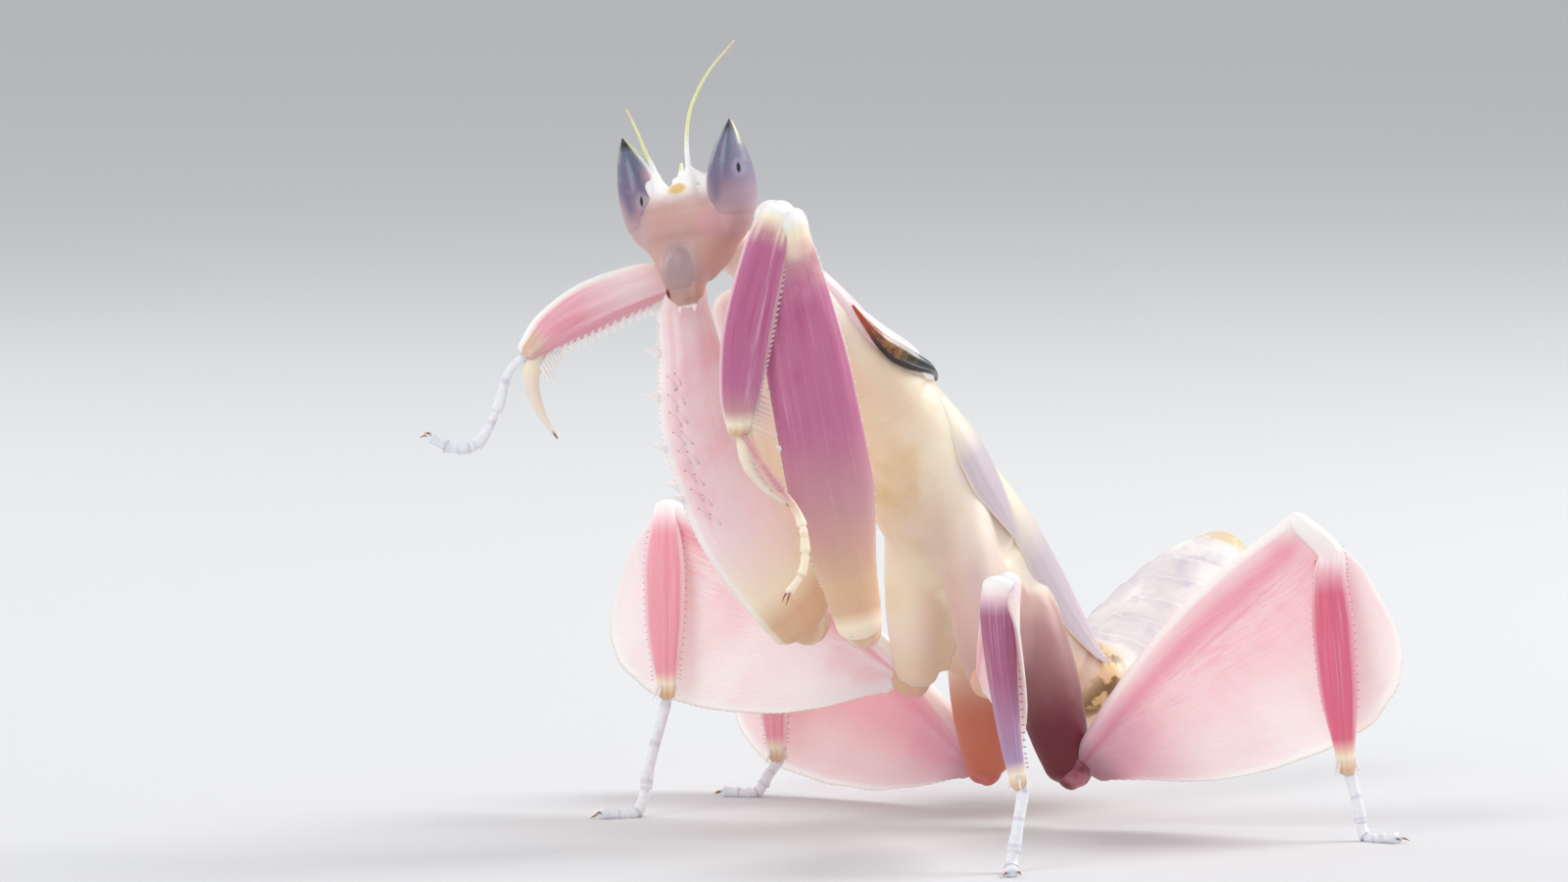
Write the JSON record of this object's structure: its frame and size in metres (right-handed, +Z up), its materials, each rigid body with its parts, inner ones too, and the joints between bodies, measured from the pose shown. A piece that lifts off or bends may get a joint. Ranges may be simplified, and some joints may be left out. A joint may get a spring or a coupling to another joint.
{
  "type": "orchid mantis figure",
  "caption": "Standing life-size orchid mantis nymph with petal-shaped thighs, one grasping leg reaching out, the other folded, and the tail curled up.",
  "frame": {"origin": "on the floor, under the middle of the model's bounding box", "axes": "+Z up; +Y towards the tail, along the body; the insect faces -Y and its left side is +X"},
  "size_m": [0.0371, 0.047, 0.0375],
  "materials": {
    "face": "satin, peach to lilac grey",
    "eye": "glossy, banded lilac and blue grey with a dark spot",
    "feeler": "satin, pale yellow green",
    "thorax": "satin, cream yellow shaded with pink",
    "abdomen": "satin, white with lilac bands",
    "back_shield": "satin, pale pink",
    "dark_rim": "glossy black green with a pale line",
    "wing_pad": "satin, lilac white with cream edges",
    "coxa": "satin, cream to dusky rose",
    "mauve_leg": "satin, mauve with lengthwise streaks",
    "pink_leg": "satin, pale pink",
    "petal": "satin, pale pink with a white rim",
    "shin": "satin, saturated pink with ridges",
    "foot": "satin, bluish white"
  },
  "bodies": {
    "root": {"abdomen_base": "abdomen", "abdomen_front": "abdomen", "abdomen_rear": "abdomen", "abdomen_tip": "abdomen", "antenna_left": "feeler", "antenna_right": "feeler", "cercus_left": "feeler", "cercus_right": "feeler", "eye_left": "eye", "eye_right": "eye", "forecoxa_left": "coxa", "forecoxa_right": "coxa", "forefemur_left": "mauve_leg", "forefemur_right": "pink_leg", "foretarsus_left": "foot", "foretarsus_right": "foot", "foretibia_left": "shin", "foretibia_right": "shin", "foretrochanter_left": "coxa", "foretrochanter_right": "coxa", "forewing_pad_left": "wing_pad", "forewing_pad_right": "wing_pad", "head": "face", "hindleg_left_coxa": "coxa", "hindleg_left_femur": "petal", "hindleg_left_tarsus": "foot", "hindleg_left_tibia": "shin", "hindleg_left_trochanter": "coxa", "hindleg_right_coxa": "coxa", "hindleg_right_femur": "petal", "hindleg_right_tarsus": "foot", "hindleg_right_tibia": "shin", "hindleg_right_trochanter": "coxa", "hindwing_pad_left": "wing_pad", "hindwing_pad_right": "wing_pad", "mesothorax": "thorax", "metathorax": "thorax", "midleg_left_coxa": "coxa", "midleg_left_femur": "petal", "midleg_left_tarsus": "foot", "midleg_left_tibia": "shin", "midleg_left_trochanter": "coxa", "midleg_right_coxa": "coxa", "midleg_right_femur": "petal", "midleg_right_tarsus": "foot", "midleg_right_tibia": "shin", "midleg_right_trochanter": "coxa", "neck": "thorax", "pronotum": "back_shield", "pronotum_rim_left": "dark_rim", "pronotum_rim_right": "dark_rim", "prothorax": "thorax"}
  },
  "joints": []
}
